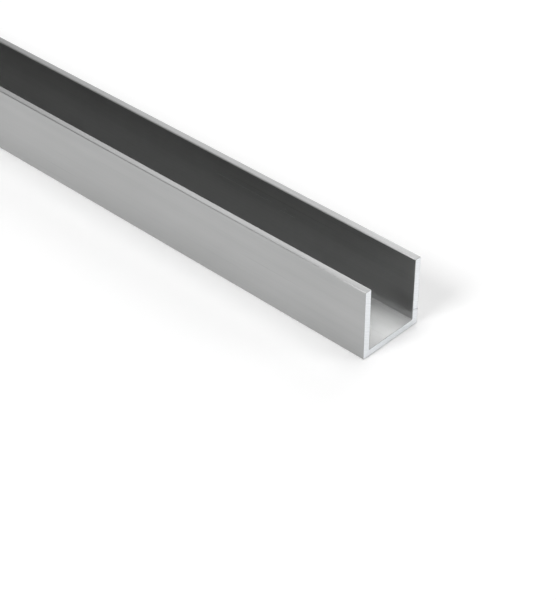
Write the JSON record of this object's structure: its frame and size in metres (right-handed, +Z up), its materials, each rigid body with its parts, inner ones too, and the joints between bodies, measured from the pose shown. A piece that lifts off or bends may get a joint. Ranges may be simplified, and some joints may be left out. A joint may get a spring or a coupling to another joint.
{
  "type": "aluminium U channel",
  "caption": "Straight equal-leg U channel of extruded aluminium, sawn square at both ends, for edging, framing or guiding panels and strips.",
  "frame": {"origin": "middle of the web's outer face, halfway along the length, on the surface that the channel lies on", "axes": "+X along the length, +Y across the width, +Z up from the web to the open side"},
  "size_m": [1, 0.02, 0.02],
  "materials": {
    "aluminium": "satin"
  },
  "bodies": {
    "root": {"u_channel": "aluminium"}
  },
  "joints": []
}
